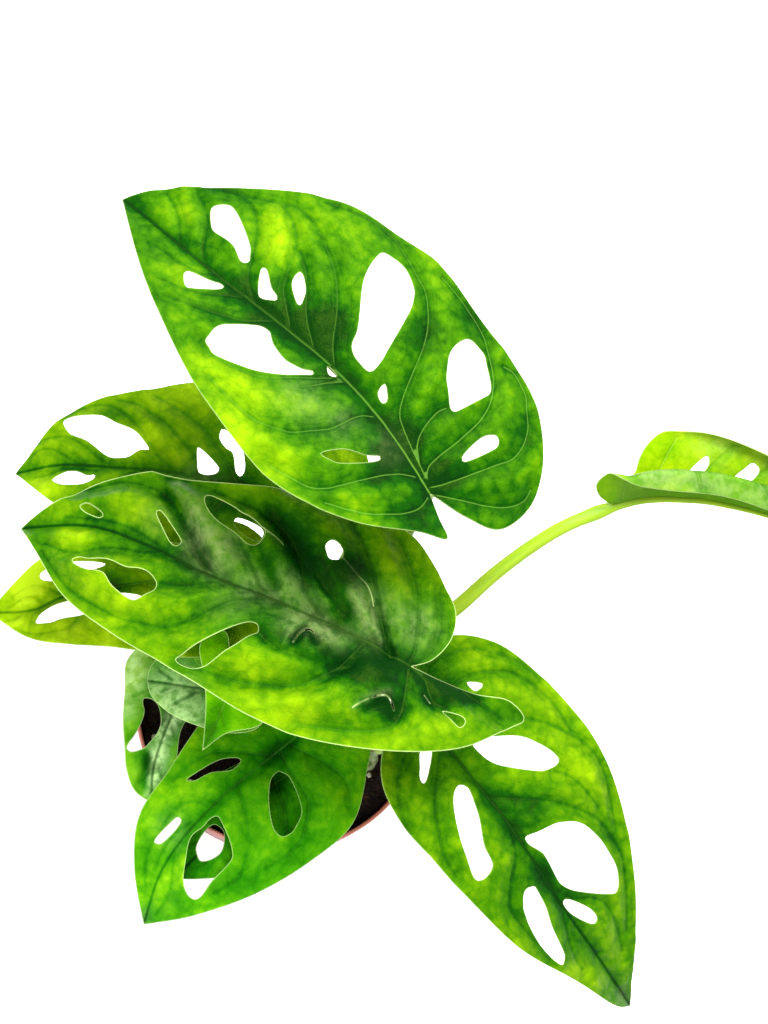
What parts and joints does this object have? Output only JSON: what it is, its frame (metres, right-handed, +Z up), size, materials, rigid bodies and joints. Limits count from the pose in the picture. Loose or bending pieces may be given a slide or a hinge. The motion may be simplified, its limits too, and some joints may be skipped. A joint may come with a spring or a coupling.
{
  "type": "potted monstera plant",
  "caption": "Climbing monstera with holed leaves on short leafy stems, rooted in soil in a round plastic nursery pot.",
  "frame": {"origin": "centre of the pot's underside, on the surface it stands on", "axes": "+Z up along the pot's axis, +X along the long petiole of the newest leaf to the plant's right, +Y to the plant's back"},
  "size_m": [0.3505, 0.2654, 0.2502],
  "materials": {
    "leaf_green": "satin living leaf, mid green with pale veins",
    "new_leaf_lime": "satin young leaf, yellow-lime",
    "stem_green": "satin pale green stem",
    "potting_soil": "matte dark brown potting soil with white perlite grains",
    "pot_red": "satin terracotta-red moulded plastic"
  },
  "bodies": {
    "root": {"leaf_top": "leaf_green", "leaf_middle": "leaf_green", "leaf_upper_left": "leaf_green", "leaf_left": "leaf_green", "leaf_lower_right": "leaf_green", "leaf_front": "leaf_green", "leaf_folded": "leaf_green", "leaf_small_oval": "leaf_green", "leaf_small_lime": "new_leaf_lime", "leaf_under_front": "leaf_green", "leaf_new": "new_leaf_lime", "stem_right": "stem_green", "stem_left": "stem_green", "soil": "potting_soil", "pot": "pot_red"}
  },
  "joints": []
}
